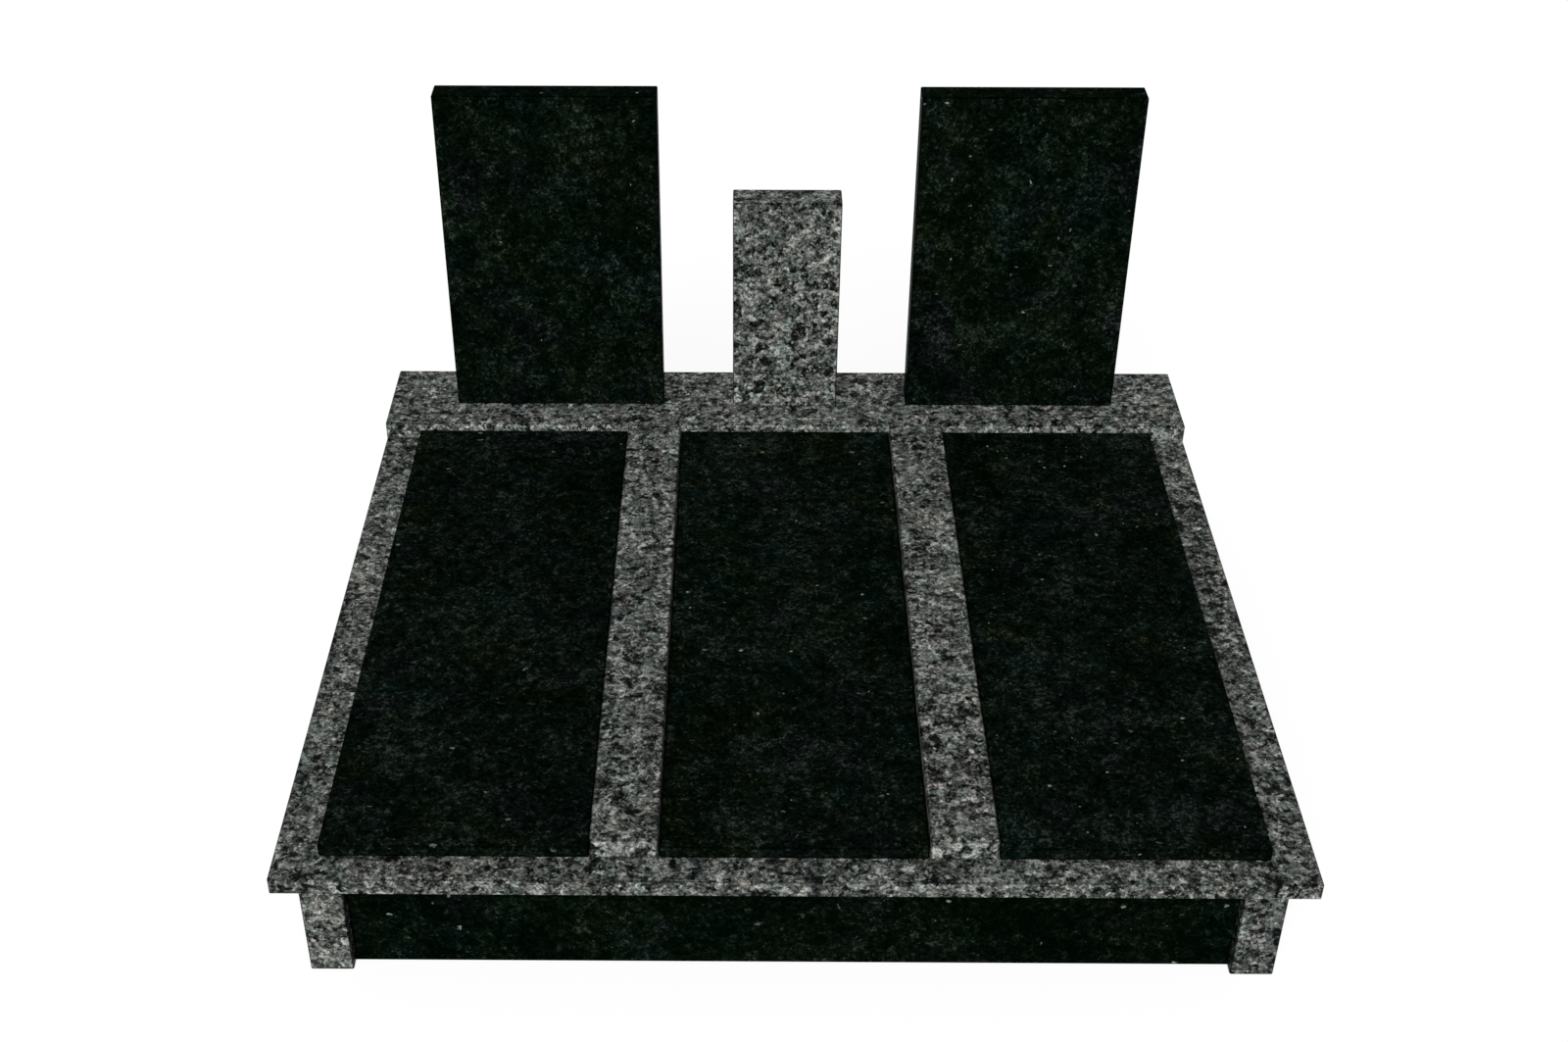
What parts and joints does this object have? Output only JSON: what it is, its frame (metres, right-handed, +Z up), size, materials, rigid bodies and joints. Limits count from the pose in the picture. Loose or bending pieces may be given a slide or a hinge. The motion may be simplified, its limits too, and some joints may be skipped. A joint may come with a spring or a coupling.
{
  "type": "double grave monument",
  "caption": "Wide granite grave monument: posts and panels carry an overhanging frame with dark cover slabs, raised divider strips, and a rear plinth with plain headstones and a pillar.",
  "frame": {"origin": "on the ground, under the centre of the frame's outline", "axes": "+Z up, the front faces -Y, +X to the right as seen from the front"},
  "size_m": [2.3, 2.1, 1.38],
  "materials": {
    "grey_granite": "polished, coarse speckled grain",
    "dark_granite": "polished, near-black green, fine flecks"
  },
  "bodies": {
    "root": {"front_left_post": "grey_granite", "front_right_post": "grey_granite", "rear_left_post": "grey_granite", "rear_right_post": "grey_granite", "front_rail": "grey_granite", "rear_rail": "grey_granite", "left_rail": "grey_granite", "right_rail": "grey_granite", "left_bearer": "grey_granite", "right_bearer": "grey_granite", "left_divider": "grey_granite", "right_divider": "grey_granite", "rear_plinth": "grey_granite", "centre_pillar": "grey_granite", "front_panel": "dark_granite", "rear_panel": "dark_granite", "left_panel": "dark_granite", "right_panel": "dark_granite", "left_slab": "dark_granite", "middle_slab": "dark_granite", "right_slab": "dark_granite", "left_headstone": "dark_granite", "right_headstone": "dark_granite"}
  },
  "joints": []
}
